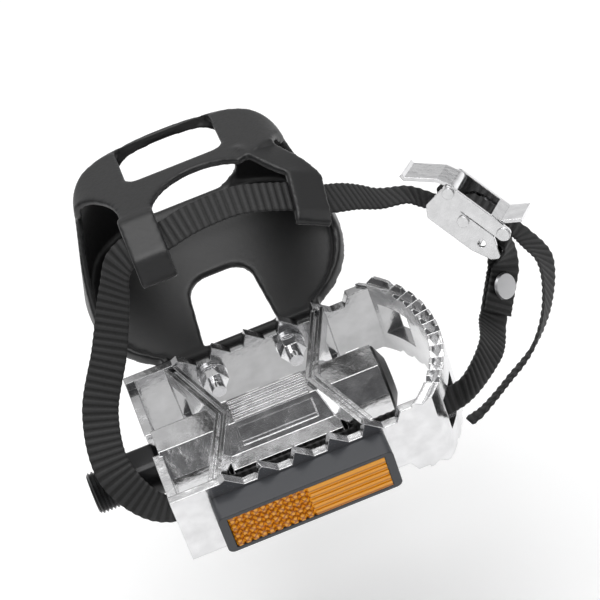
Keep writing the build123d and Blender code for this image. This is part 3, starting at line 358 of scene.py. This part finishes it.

# %% [markdown]
# The cage's rear plate shines nearly white, and towards the toe the metal looks greyer, as it lies in
# the toe clip's shade and mirrors its dark resin. That is painted shade and a painted dark reflection in
# the colour. A second material could show it, with a hard border between the two. One material is enough
# if its colour is multiplied by a factor that falls softly along the pedal.

# %% Painted shade towards the toe
PAINTED_SHADE_START = 6 * MM
PAINTED_SHADE_END = 26 * MM
PAINTED_SHADE_SHARE = 0.66


def object_axes(tree):
    """Outputs X, Y and Z of a place in Object coordinates."""
    where = tree.nodes.new("ShaderNodeTexCoord")
    axes = tree.nodes.new("ShaderNodeSeparateXYZ")
    tree.links.new(where.outputs["Object"], axes.inputs["Vector"])
    return axes.outputs


# Painted shade: the metal's colour is multiplied by a factor that falls from 1 to the share towards the
# toe.
tree = aluminium.node_tree
colour = tree.nodes["Principled BSDF"].inputs["Base Color"]
painted_shade_fall = tree.nodes.new("ShaderNodeMapRange")
painted_shade_fall.inputs["From Min"].default_value = PAINTED_SHADE_START
painted_shade_fall.inputs["From Max"].default_value = PAINTED_SHADE_END
painted_shade_fall.inputs["To Min"].default_value = 1.0
painted_shade_fall.inputs["To Max"].default_value = PAINTED_SHADE_SHARE
product = tree.nodes.new("ShaderNodeVectorMath")
product.operation = "SCALE"
tree.links.new(object_axes(tree)["Y"], painted_shade_fall.inputs["Value"])
tree.links.new(colour.links[0].from_socket, product.inputs["Vector"])
tree.links.new(painted_shade_fall.outputs["Result"], product.inputs["Scale"])
tree.links.new(product.outputs["Vector"], colour)
print("Greyer front:", aluminium.name, "at", PAINTED_SHADE_SHARE)

# %% [markdown]
# The lens is clear amber plastic with prisms on its back. From outside they show as small diamonds on
# the inner half and as level bars on the outer half. Clear prisms would be slow and noisy to render,
# and the lens's face is smooth, so the pattern is in the colour alone: two slanting sets of ridges
# multiplied together, and one level set.

# %% Lens finish
LENS_MIDDLE = 52 * MM
PRISM_PITCH = 2.4 * MM
BAR_PITCH = 2.74 * MM
LENS_DARK = (0.05, (0.4, 0.105, 0.004))
LENS_LIGHT = (0.75, (0.98, 0.41, 0.015))
LENS_ROUGHNESS = 0.12


def ridges(tree, value, pitch):
    """Rounded ridges |sin(pi value / pitch)|, one to each pitch."""
    angle = math_node(tree, "MULTIPLY", value, np.pi / pitch)
    return math_node(tree, "ABSOLUTE", math_node(tree, "SINE", angle))


amber = plain_material("amber_lens", LENS_LIGHT[1], LENS_ROUGHNESS)
tree = amber.node_tree
axes = object_axes(tree)
x, z = axes["X"], axes["Z"]
rising = ridges(tree, math_node(tree, "ADD", x, z), PRISM_PITCH)
falling = ridges(tree, math_node(tree, "SUBTRACT", x, z), PRISM_PITCH)
pattern = tree.nodes.new("ShaderNodeMix")
tree.links.new(math_node(tree, "GREATER_THAN", x, LENS_MIDDLE), pattern.inputs["Factor"])
tree.links.new(math_node(tree, "MULTIPLY", rising, falling), pattern.inputs["A"])
tree.links.new(ridges(tree, z, BAR_PITCH), pattern.inputs["B"])
tint = colour_ramp(tree, [LENS_DARK, LENS_LIGHT])
tree.links.new(pattern.outputs["Result"], tint.inputs["Fac"])
tree.links.new(tint.outputs["Color"], tree.nodes["Principled BSDF"].inputs["Base Color"])
print("Lens finish:", amber.name)

# %% [markdown]
# ## Pieces
# Every CAD piece gets its finish by name. Materials could be set by hand on each piece, but a table
# shows all of them at a glance. Pieces that aren't in it are bright plated steel, as the buckle is.

# %% Pieces
finishes = {
    "body_casting": aluminium,
    "toe_clip": resin,
    "reflector_housing": charcoal,
    "reflector_lens": amber,
    "spindle": black_steel,
    "dust_cap": resin,
    "strap_rivet": dull_steel,
    "thrust_washer": dull_steel,
    "lock_nut": dull_steel,
    "inner_seal": rubber,
    "inner_bush": bronze,
    "outer_bush": bronze,
}
for name, node in nodes.items():
    node.data.materials.clear()
    node.data.materials.append(finishes.get(name, bright_steel))
print("Finishes on", len(nodes), "pieces")

# %% [markdown]
# ## Toe clip
# The basket is one injection moulding, so its edges are rounded and its walls run into each other.
# Bevels stumble where many edges meet. A copy of the solid is merged instead, covered with an even
# skin of small faces and smoothed, which rounds every edge a little and keeps the broad faces in
# place.

# %% Toe clip
SKIN_FACE = 0.6 * MM
SKIN_ROUNDS = 14
SKIN_SHARE = 0.5
MERGE_DISTANCE = 0.001 * MM

clip_mesh = nodes["toe_clip"].data.copy()
shell = bmesh.new()
shell.from_mesh(clip_mesh)
bmesh.ops.remove_doubles(shell, verts=shell.verts, dist=MERGE_DISTANCE)
shell.to_mesh(clip_mesh)
shell.free()
moulded_clip = bpy.data.objects.new("moulded_clip", clip_mesh)
bpy.context.collection.objects.link(moulded_clip)
skin = moulded_clip.modifiers.new("skin", "REMESH")
skin.mode = "VOXEL"
skin.voxel_size = SKIN_FACE
skin.use_smooth_shade = True
softened = moulded_clip.modifiers.new("softened", "SMOOTH")
softened.factor = SKIN_SHARE
softened.iterations = SKIN_ROUNDS
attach(moulded_clip, "pedal")
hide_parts("toe_clip")
skinned = moulded_clip.evaluated_get(bpy.context.evaluated_depsgraph_get())
print("Toe clip with", len(skinned.data.polygons), "faces")

# %% [markdown]
# ## Spindle
# The spindle is turned steel, and its crank end has a rolled thread of twenty turns to the inch. A
# bump in the finish would leave the thread's outline straight, so the spindle is a surface: one
# radius for each place along the axis and each angle round it. First comes the radius along the axis,
# as on a lathe.

# %% Spindle profile
THREAD_RADIUS = 7.144
THREAD_LENGTH = 12.7
THREAD_RINGS = 201
COLLAR_RADIUS = 8.5
COLLAR_LENGTH = 10.6
WRENCH_RIM = 2.0
SHOULDER_STEP = 1.2
SHOULDER_PLACE = 13.6
INNER_JOURNAL_RADIUS = 6.6
INNER_JOURNAL_END = 30.2
SHAFT_RADIUS = 5.8
SHAFT_TAPER = 4.0
OUTER_JOURNAL_RADIUS = 4.8
OUTER_JOURNAL_START = 64.0
OUTER_JOURNAL_END = 78.6
STUD_RADIUS = 3.9
STUD_END = 85.3
STUD_CHAMFER = 0.6

shaft = np.array(
    [
        (0, COLLAR_RADIUS),
        (WRENCH_RIM, COLLAR_RADIUS),
        (WRENCH_RIM, COLLAR_RADIUS),
        (COLLAR_LENGTH, COLLAR_RADIUS),
        (COLLAR_LENGTH, COLLAR_RADIUS),
        (COLLAR_LENGTH + SHOULDER_STEP, COLLAR_RADIUS - SHOULDER_STEP),
        (SHOULDER_PLACE, COLLAR_RADIUS - SHOULDER_STEP),
        (SHOULDER_PLACE, INNER_JOURNAL_RADIUS),
        (INNER_JOURNAL_END, INNER_JOURNAL_RADIUS),
        (INNER_JOURNAL_END + SHAFT_TAPER, SHAFT_RADIUS),
        (OUTER_JOURNAL_START - SHAFT_TAPER, SHAFT_RADIUS),
        (OUTER_JOURNAL_START, OUTER_JOURNAL_RADIUS),
        (OUTER_JOURNAL_END, OUTER_JOURNAL_RADIUS),
        (OUTER_JOURNAL_END, STUD_RADIUS),
        (STUD_END - STUD_CHAMFER, STUD_RADIUS),
        (STUD_END, STUD_RADIUS - STUD_CHAMFER),
    ]
)
places = np.concatenate([np.linspace(-THREAD_LENGTH, 0, THREAD_RINGS), shaft[:, 0]])
radii = np.concatenate([np.full(THREAD_RINGS, THREAD_RADIUS), shaft[:, 1]])
print("Spindle from", places[0], "to", places[-1], "mm in", len(places), "rings")

# %% [markdown]
# Then the radius changes round the axis. Cutting the thread and the flats out with booleans would be
# slow and would leave ragged faces. As formulas they act on the whole grid at once: the thread lowers
# the radius by a wave that climbs one pitch in a turn, the tip is a cone, and the flats are two
# planes.

# %% Spindle radius
THREAD_PITCH = 1.27
THREAD_DEPTH = 0.68
THREAD_CHAMFER = 0.9
THREAD_RUN_OUT = 1.6
CREST_SHARE = 0.12
FLAT_HALF = 7.5
FLAT_RINGS = slice(THREAD_RINGS + 2, THREAD_RINGS + 4)
LEAST_SINE = 0.1
AROUND = 96


def spindle_radius(places, radii, angles):
    """Radius on a grid of rings and angles.

    Thread: radius - depth * wave, where the wave is a clipped triangle of place / pitch - angle / turn.
    It fades out towards the collar. Chamfer: no more than a cone at the tip. Wrench flats: no more than
    flat / |sin angle|.
    """
    phase = (places[:, None] / THREAD_PITCH - angles[None, :] / (2 * np.pi)) % 1.0
    triangle = np.abs(2 * phase - 1)
    wave = np.clip((triangle - CREST_SHARE) / (1 - 2 * CREST_SHARE), 0, 1)
    fade = np.clip(-places / THREAD_RUN_OUT, 0, 1)[:, None]
    grid = radii[:, None] - THREAD_DEPTH * fade * wave
    cone = THREAD_RADIUS - THREAD_CHAMFER + places + THREAD_LENGTH
    grid[:THREAD_RINGS] = np.minimum(grid[:THREAD_RINGS], cone[:THREAD_RINGS, None])
    flats = FLAT_HALF / np.maximum(np.abs(np.sin(angles)), LEAST_SINE)
    grid[FLAT_RINGS] = np.minimum(grid[FLAT_RINGS], flats[None, :])
    return grid


angles = np.linspace(0, 2 * np.pi, AROUND, endpoint=False)
grid = spindle_radius(places, radii, angles)
print("Spindle with", round(THREAD_LENGTH / THREAD_PITCH), "turns of thread")

# %% [markdown]
# The grid of radii becomes rings of points, joined by four-sided faces. The spindle has sharp
# shoulders and round journals on one surface, so it is shaded smooth, and edges over a set angle are
# marked as sharp.

# %% Spindle
SHARP_ANGLE = np.radians(35)


def tube_faces(rings, section):
    """Quads between neighbouring rings of a tube, with a flat cap at each end, all facing outwards."""
    ring = np.arange(rings - 1)[:, None] * section
    step = np.arange(section)[None, :]
    after = (step + 1) % section
    quads = np.stack([ring + step, ring + after, ring + section + after, ring + section + step], axis=-1)
    first = list(range(section))[::-1]
    last = list(range((rings - 1) * section, rings * section))
    return quads.reshape(-1, 4).tolist() + [first, last]


along_axis = np.broadcast_to(places[:, None], grid.shape)
turned = np.stack([along_axis, grid * np.cos(angles), grid * np.sin(angles)], axis=-1)
spindle_mesh = bpy.data.meshes.new("turned_spindle")
spindle_mesh.from_pydata((turned.reshape(-1, 3) * MM).tolist(), [], tube_faces(len(places), AROUND))
spindle_mesh.shade_smooth()
spindle_mesh.set_sharp_from_angle(angle=SHARP_ANGLE)
spindle_mesh.materials.append(black_steel)
spindle = bpy.data.objects.new("turned_spindle", spindle_mesh)
bpy.context.collection.objects.link(spindle)
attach(spindle, "axle")
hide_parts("spindle")
print("Spindle with", len(spindle_mesh.polygons), "faces")

# %% [markdown]
# ## Strap
# The strap is one length of webbing: out of the buckle, through the cage, up through the clip's two
# loops and back over the buckle's roller. A curve object with a bevel could follow that route, but
# its twist is hard to hold. So each point of the route, listed as in the solid, also has the
# line across the strap. Near the buckle the points are measured in the buckle's own plane.

# %% Buckle plane


def unit(vector):
    """Vector v / |v|, for one vector or for the last axis of an array."""
    vector = np.asarray(vector, float)
    return vector / np.linalg.norm(vector, axis=-1, keepdims=True)


def across(vector, normal):
    """Part of a vector that is square to a normal, made unit long."""
    normal = unit(normal)
    return unit(np.asarray(vector) - np.dot(vector, normal) * normal)


buckle_origin = np.array([134.0, 33.0, 20.0])
buckle_normal = unit([0.424, 0.799, -0.426])
buckle_along = across([-0.53, 0.6, 0.6], buckle_normal)
buckle_out = np.cross(buckle_normal, buckle_along)
pin_line = -buckle_normal


def in_buckle(along, out):
    """Point of the buckle's own plane: origin + along a + out b."""
    return buckle_origin + along * buckle_along + out * buckle_out


def round_pin(place, reach, degrees):
    """Point at a reach and an angle around a pin of the buckle."""
    angle = np.radians(degrees)
    return in_buckle(place[0] + reach * np.cos(angle), place[1] + reach * np.sin(angle))


print("Buckle at", buckle_origin, "mm")

# %% [markdown]
# The route has five stretches, from the riveted end to the free one. The riveted end is folded back
# round the buckle's bar, so two layers lie on each other there.

# %% Strap route
BAR_PLACE = (-14.0, 1.5)
BAR_REACH = 2.5
ROLLER_PLACE = (1.0, 4.3)
ROLLER_REACH = 4.05
LAYER = 1.8
FOLD_FLAT = 5.5
FOLD_SPREAD = 0.4
FOLD_END = 9
FOLD_LEAVE = 12
LOOP_TILT = np.radians(8)
LOOP_ENTRY = 4.95
LOOP_EXIT = 5.4

rivet_width = unit([-0.63, -0.08, 0.74])
rivet_run = unit([-0.5, -0.68, -0.5])
rivet_out = unit(np.cross(rivet_width, rivet_run))
rivet_place = np.array([137.0, 18.0, 1.5])
over = rivet_place + rivet_out * LAYER
loop_line = np.array([0, -np.cos(LOOP_TILT), -np.sin(LOOP_TILT)])
inner_loop = np.array([33.5, 33.4, 64.37])
inner_step = np.array([-1.0, 0, 0])
outer_loop = np.array([87.0, 33.5, 57.0])
outer_step = unit([-0.85, 0.05, 0.52])
outer_line = across([0.2, -0.93, -0.3], outer_step)
upright = np.array([0.0, 0, 1])

fixed_end = [
    (over + rivet_run * FOLD_END, rivet_width),
    (over + rivet_run * FOLD_FLAT, rivet_width),
    (over - rivet_run * FOLD_FLAT + rivet_out * FOLD_SPREAD, rivet_width),
    *[(round_pin(BAR_PLACE, BAR_REACH, turn), pin_line) for turn in (150, 105, 60, 15, -30)],
    (rivet_place - rivet_run * FOLD_FLAT - rivet_out * FOLD_SPREAD, rivet_width),
    (rivet_place + rivet_run * FOLD_FLAT, rivet_width),
    (rivet_place + rivet_run * FOLD_LEAVE, rivet_width),
]
through_cage = [
    ((125.2, -4.8, -1.5), (-0.4, 0, 0.9)),
    ((112, -18.5, 0), upright),
    ((105, -20, 0), upright),
    ((92, -20.5, 0), upright),
    ((60, -20.8, 0), upright),
    ((25, -20.5, 0), upright),
    ((12, -20, 0), upright),
]
up_to_loops = [
    ((4, -17.5, 4), (0.5, 0.1, 0.85)),
    ((-3, -7, 13.5), (1, 0.1, 0.1)),
    ((-0.5, 9, 24), (1, -0.1, -0.1)),
    ((10, 21, 38), (0.8, -0.5, -0.25)),
    ((18, 29.5, 52), (0.5, -0.8, -0.3)),
    ((22.5, 32.4, 60.5), (0.25, -0.9, -0.3)),
]
over_shoe = [
    (inner_loop + inner_step * LOOP_ENTRY, loop_line),
    (inner_loop, loop_line),
    (inner_loop - inner_step * LOOP_EXIT, loop_line),
    ((50, 34.5, 66), loop_line),
    ((66, 34.5, 66), loop_line),
    (outer_loop + outer_step * LOOP_EXIT, outer_line),
    (outer_loop - outer_step * LOOP_EXIT, outer_line),
]
free_end = [
    ((101, 37, 47), (0, -0.97, -0.1)),
    ((111, 41, 37.5), (-0.2, -0.9, 0.3)),
    ((120, 42.5, 32.4), pin_line),
    (in_buckle(13, -0.4), pin_line),
    (in_buckle(9, 1.7), pin_line),
    *[(round_pin(ROLLER_PLACE, ROLLER_REACH, turn), pin_line) for turn in (18, 52, 88)],
    (in_buckle(-8, 9), pin_line),
    (in_buckle(-18, 9.3), pin_line),
    ((153, 11, 12.5), pin_line),
    ((148, -3, 8), pin_line),
    ((138.5, -14, 3), pin_line),
    ((125.7, -21, -1), pin_line),
    ((114.5, -26.5, -3.5), pin_line),
    ((109.5, -27.6, -4.6), pin_line),
]
route = fixed_end + through_cage + up_to_loops + over_shoe + free_end
knots = np.array([place for place, line in route], float)
lines = unit([line for place, line in route])
print("Route with", len(route), "points")

# %% [markdown]
# A smooth curve runs through every point of the route. Straight stretches would show corners, and an
# even spacing of knots would loop where points lie close together, as round the bar. Spacing them by
# the root of their distance avoids both. The curve is sampled closely, then evened out by length.

# %% Strap curve
SPAN_SAMPLES = 60
RINGS = 1800


def smooth_curve(points, samples):
    """Smooth curve through points, by three rounds of straight mixing between neighbours.

    Knot times grow by the square root of each chord. Ends are mirrored.
    """
    first = 2 * points[0] - points[1]
    last = 2 * points[-1] - points[-2]
    held = np.vstack([first, points, last])
    chords = np.sqrt(np.linalg.norm(np.diff(held, axis=0), axis=1))
    times = np.concatenate([[0.0], np.cumsum(chords)])
    share = np.linspace(0, 1, samples, endpoint=False)
    spans = np.arange(len(points) - 1)
    t0, t1, t2, t3 = [times[spans + step][:, None, None] for step in range(4)]
    p0, p1, p2, p3 = [held[spans + step][:, None, :] for step in range(4)]
    t = t1 + (t2 - t1) * share[None, :, None]
    a1 = ((t1 - t) * p0 + (t - t0) * p1) / (t1 - t0)
    a2 = ((t2 - t) * p1 + (t - t1) * p2) / (t2 - t1)
    a3 = ((t3 - t) * p2 + (t - t2) * p3) / (t3 - t2)
    b1 = ((t2 - t) * a1 + (t - t0) * a2) / (t2 - t0)
    b2 = ((t3 - t) * a2 + (t - t1) * a3) / (t3 - t1)
    curve = ((t2 - t) * b1 + (t - t1) * b2) / (t2 - t1)
    return np.vstack([curve.reshape(-1, 3), points[-1:]])


def mixed_at(places, known, values):
    """Values mixed in straight lines between known places, column by column."""
    return np.column_stack([np.interp(places, known, column) for column in values.T])


spans = len(route) - 1
close = smooth_curve(knots, SPAN_SAMPLES)
close_lines = mixed_at(np.linspace(0, spans, spans * SPAN_SAMPLES + 1), np.arange(len(route)), lines)
lengths = np.concatenate([[0.0], np.cumsum(np.linalg.norm(np.diff(close, axis=0), axis=1))])
along = np.linspace(0, lengths[-1], RINGS)
centre = mixed_at(along, lengths, close)
run = unit(np.gradient(centre, axis=0))
wide = mixed_at(along, lengths, close_lines)
wide = unit(wide - np.sum(wide * run, axis=1, keepdims=True) * run)
thick = np.cross(run, wide)
print("Strap", round(lengths[-1]), "mm long")

# %% [markdown]
# Woven webbing catches the light on its ribs and is nearly black between them, in their shade. That
# light and shade is painted into the colour. A stripe texture would drift off the ribs where the strap
# bends, so the strap's mesh carries the depth of its grooves as an attribute, and a ramp turns that
# depth into
# painted shade: the webbing's own colour with painted light on the ribs, and dark in the grooves.

# %% Webbing finish
# Painted light and shade: the ribs get the webbing's colour with painted light, the grooves painted
# shade.
RIB_COLOUR_AND_LIGHT = (0.25, (0.021, 0.021, 0.0215))
GROOVE_PAINTED_SHADE = (0.75, (0.001, 0.001, 0.001))

webbing = uneven(
    plain_material("black_webbing", (0.01, 0.01, 0.01), roughness=0.75),
    scale=1500, depth=0.00008, edge=0.0002, rough_low=0.55, rough_high=0.8,
)
tree = webbing.node_tree
read = tree.nodes.new("ShaderNodeAttribute")
read.attribute_name = "groove"
shade = colour_ramp(tree, [RIB_COLOUR_AND_LIGHT, GROOVE_PAINTED_SHADE])
tree.links.new(read.outputs["Fac"], shade.inputs["Fac"])
tree.links.new(shade.outputs["Color"], tree.nodes["Principled BSDF"].inputs["Base Color"])
print("Webbing finish:", webbing.name)

# %% [markdown]
# The strap's section is a flat band with rounded edges, carried along the curve. Its ribs could be a
# bump in the finish, which would leave the strap's outline straight. So they are a wave in its
# thickness, with a little of it at the edges.

# %% Strap
STRAP_WIDTH = 12.0
STRAP_THICKNESS = 1.5
SECTION = 24
WIDE_POWER = 0.3
THICK_POWER = 0.5
RIB_PITCH = 2.45
RIB_DEPTH = 0.44
EDGE_DEPTH = 0.02


def squared(wave, power):
    """Sign of a wave times its size to a power: a power below one squares a circle up."""
    return np.sign(wave) * np.abs(wave) ** power


around = np.linspace(0, 2 * np.pi, SECTION, endpoint=False)
half_width = squared(np.cos(around), WIDE_POWER) * STRAP_WIDTH / 2
half_thickness = squared(np.sin(around), THICK_POWER) * STRAP_THICKNESS / 2
groove = 0.5 - 0.5 * np.cos(2 * np.pi * along / RIB_PITCH)
aside = half_width[None, :] * (1 - EDGE_DEPTH * groove)[:, None]
above = half_thickness[None, :] * (1 - RIB_DEPTH * groove)[:, None]
woven = centre[:, None, :] + wide[:, None, :] * aside[:, :, None] + thick[:, None, :] * above[:, :, None]
strap_mesh = bpy.data.meshes.new("strap_webbing")
strap_mesh.from_pydata((woven.reshape(-1, 3) * MM).tolist(), [], tube_faces(RINGS, SECTION))
strap_mesh.shade_smooth()
groove_mark = strap_mesh.attributes.new("groove", "FLOAT", "POINT")
groove_mark.data.foreach_set("value", np.repeat(groove, SECTION).astype(np.float32))
strap_mesh.materials.append(webbing)
strap = bpy.data.objects.new("strap_webbing", strap_mesh)
bpy.context.collection.objects.link(strap)
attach(strap, "pedal")
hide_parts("strap")
print("Strap with", len(strap_mesh.polygons), "faces")
